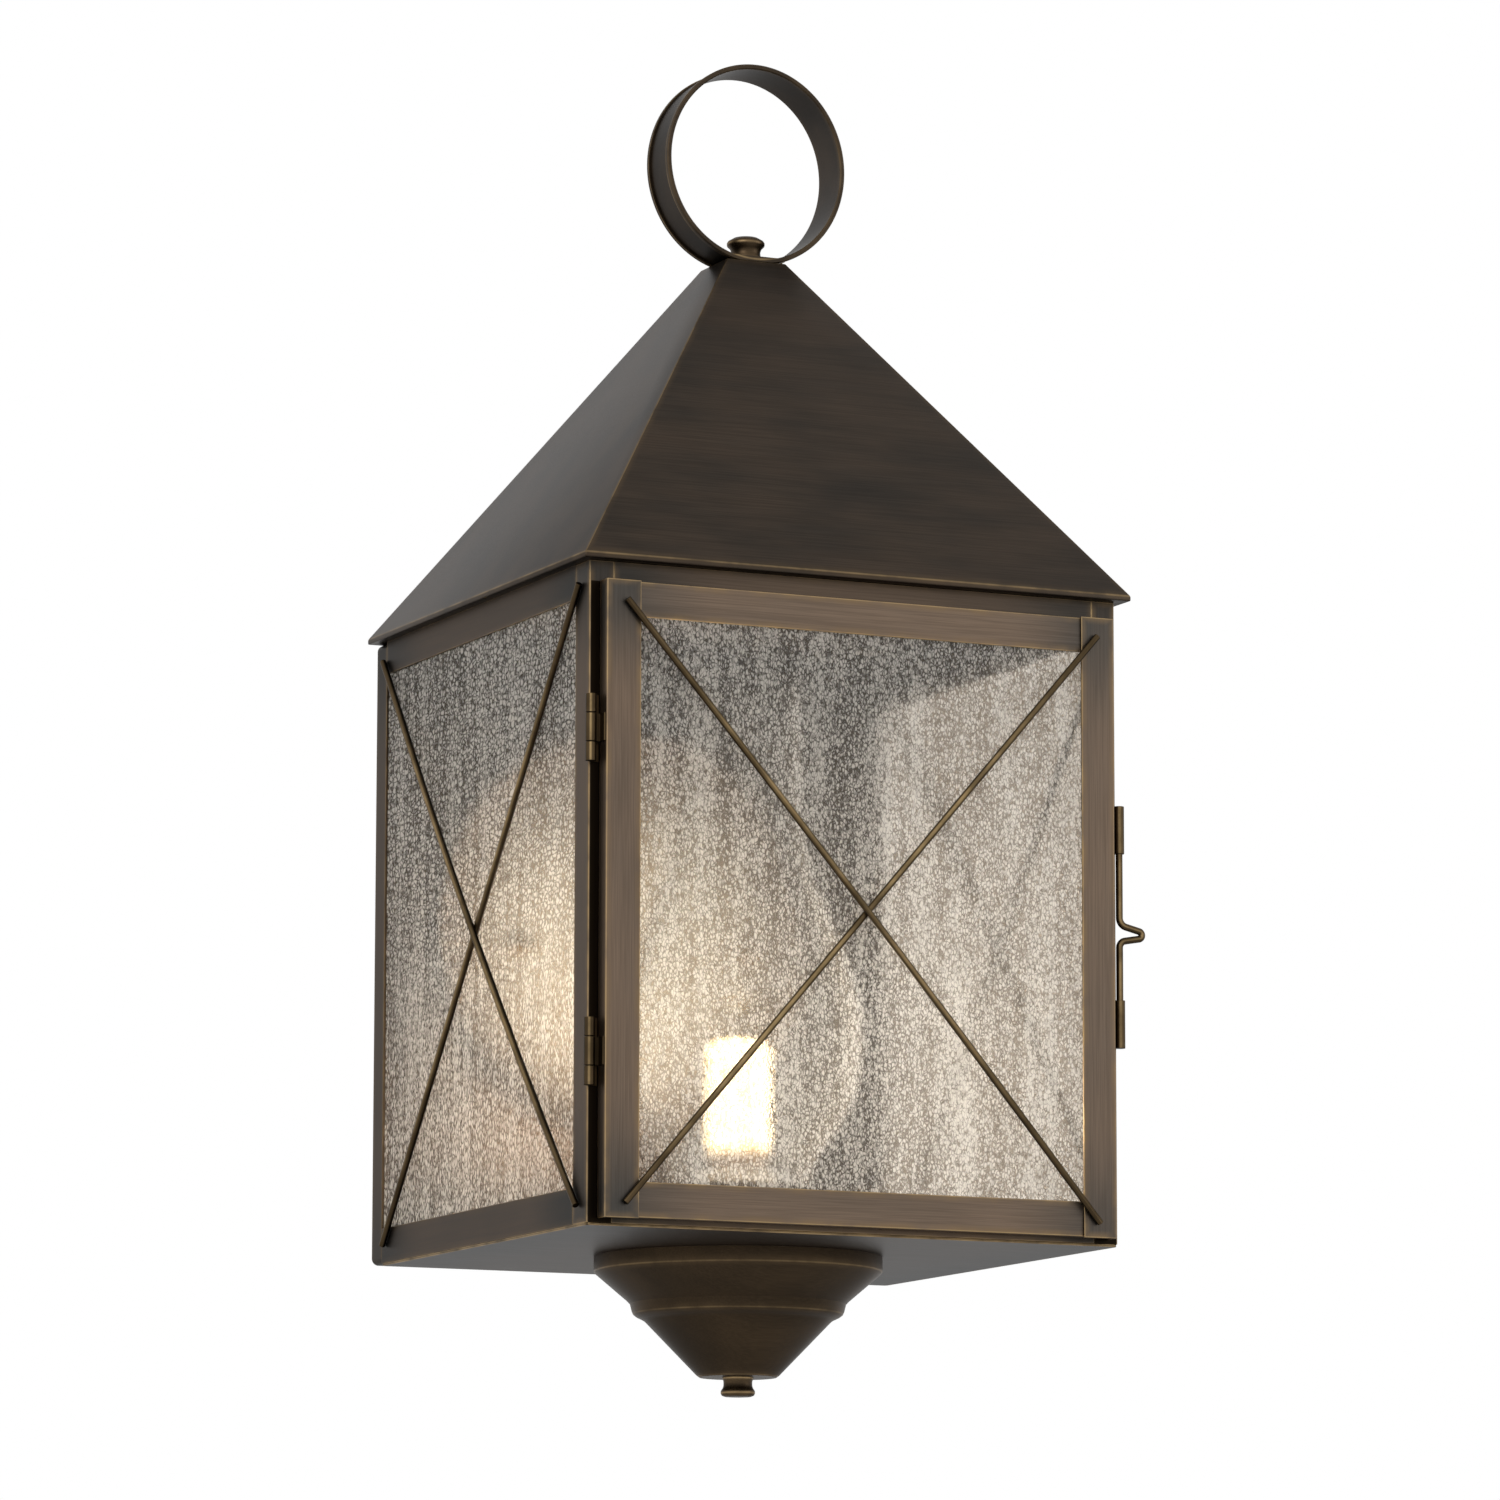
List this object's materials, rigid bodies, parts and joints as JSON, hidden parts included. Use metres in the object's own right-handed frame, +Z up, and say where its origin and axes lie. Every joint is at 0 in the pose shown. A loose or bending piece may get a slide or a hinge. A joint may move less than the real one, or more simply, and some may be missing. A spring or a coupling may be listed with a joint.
{
  "type": "wall sconce",
  "caption": "Square wall lantern with a hip roof, a ring on top, a hinged glass door with crossed rods, a wire latch, a chimney glass over a bulb and a spun canopy below.",
  "frame": {"origin": "middle of the wall bracket, on the wall plane, between its two slots for the junction box screws", "axes": "+Z up, +Y into the wall, -Y out of the wall towards the door, +X to the right as seen from in front"},
  "size_m": [0.301, 0.2869, 0.6669],
  "materials": {
    "bronze": "satin",
    "bronze_roof": "satin",
    "bronze_door": "satin",
    "bronze_spun": "satin",
    "bronze_rod": "satin",
    "bronze_hardware": "satin",
    "bronze_inside": "satin",
    "seedy_glass": "textured",
    "chimney_glass": "clear",
    "bulb_glass": "clear",
    "filament": "glowing",
    "porcelain": "glazed",
    "brass": "satin",
    "steel": "zinc plated",
    "reflector_metal": "polished",
    "bushing": "matte"
  },
  "bodies": {
    "frame": {"post_left": "bronze", "post_right": "bronze", "rail_top_left": "bronze", "rail_top_right": "bronze", "rail_bottom_left": "bronze", "rail_bottom_right": "bronze", "header_front": "bronze", "sill_front": "bronze", "back_pan": "bronze", "bottom_plate": "bronze", "roof_panel_front": "bronze_roof", "roof_panel_left": "bronze_roof", "roof_panel_right": "bronze_roof", "roof_panel_back": "bronze_roof", "roof_top": "bronze_roof", "canopy": "bronze_spun", "finial": "bronze_spun", "top_knob": "bronze_spun", "top_ring": "bronze_spun", "rod_inner_left": "bronze_rod", "rod_inner_right": "bronze_rod", "rod_outer_left": "bronze_rod", "rod_outer_right": "bronze_rod", "hinge_frame_leaves": "bronze_hardware", "hinge_pins": "bronze_hardware", "latch_barrels": "bronze_hardware", "glass_clips_left": "bronze_inside", "glass_clips_right": "bronze_inside", "gallery": "bronze_inside", "glass_left": "seedy_glass", "glass_right": "seedy_glass", "lamp_socket": "porcelain", "socket_shell": "brass", "centre_tube": "brass", "tube_nuts": "brass", "ground_screw": "brass", "cap_nuts": "brass", "wall_bracket": "steel", "mounting_studs": "steel", "roof_stud": "steel", "roof_nut": "steel", "roof_screws": "steel", "reflector_rivets": "steel", "reflector": "reflector_metal", "wire_bushings": "bushing"},
    "door": {"door_stile_left": "bronze_door", "door_stile_right": "bronze_door", "door_rail_top": "bronze_door", "door_rail_bottom": "bronze_door", "door_glass": "seedy_glass", "door_clips": "bronze_inside", "door_rod_inner": "bronze_rod", "door_rod_outer": "bronze_rod", "hinge_door_leaves": "bronze_hardware"},
    "latch": {"latch_wire": "bronze_hardware"},
    "chimney": {"chimney_glass": "chimney_glass"},
    "bulb": {"bulb_base": "brass", "bulb_glass": "bulb_glass", "bulb_filament": "filament"}
  },
  "joints": [
    {"name": "door_hinge", "type": "hinge", "parent": "frame", "child": "door", "pos_m": [-0.1402, -0.274, -0.0079], "axis": [0, 0, -1], "range_deg": [0, 115]},
    {"name": "latch_turn", "type": "hinge", "parent": "frame", "child": "latch", "pos_m": [0.1405, -0.27355, -0.014], "axis": [0, 0, 1], "range_deg": [-115, 45]},
    {"name": "chimney_lift", "type": "slide", "parent": "frame", "child": "chimney", "axis": [0, 0, 1], "range_m": [0, 0.03]},
    {"name": "bulb_unscrew", "type": "slide", "parent": "frame", "child": "bulb", "axis": [0, 0, 1], "range_m": [0, 0.026]}
  ]
}
